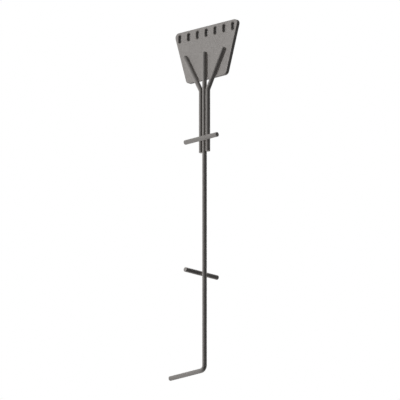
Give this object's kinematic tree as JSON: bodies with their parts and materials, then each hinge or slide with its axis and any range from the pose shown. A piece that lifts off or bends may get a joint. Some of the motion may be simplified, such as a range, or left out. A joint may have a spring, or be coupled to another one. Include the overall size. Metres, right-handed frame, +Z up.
{
  "type": "plate anchor rod",
  "caption": "Guy anchor of bent round steel bars welded to a slotted trapezoid plate, with crossbars and a hooked foot that hold it in the concrete it is cast into.",
  "frame": {"origin": "where the main rod's centre line meets the foot arm's centre line", "axes": "+X along the plate, away from the foot arm; +Y from the bars to the plate; +Z up the main rod"},
  "size_m": [0.6244, 0.308, 2.4226],
  "materials": {
    "plate_steel": "dull grey steel plate",
    "bar_steel": "dull grey round bar",
    "weld_metal": "rippled weld bead"
  },
  "bodies": {
    "root": {"anchor_plate": "plate_steel", "main_rod": "bar_steel", "left_side_rod": "bar_steel", "right_side_rod": "bar_steel", "upper_crossbar": "bar_steel", "lower_crossbar": "bar_steel", "main_rod_plate_weld": "weld_metal", "left_rod_plate_weld": "weld_metal", "right_rod_plate_weld": "weld_metal", "left_rod_lap_weld": "weld_metal", "right_rod_lap_weld": "weld_metal", "upper_crossbar_weld": "weld_metal", "lower_crossbar_weld": "weld_metal"}
  },
  "joints": []
}
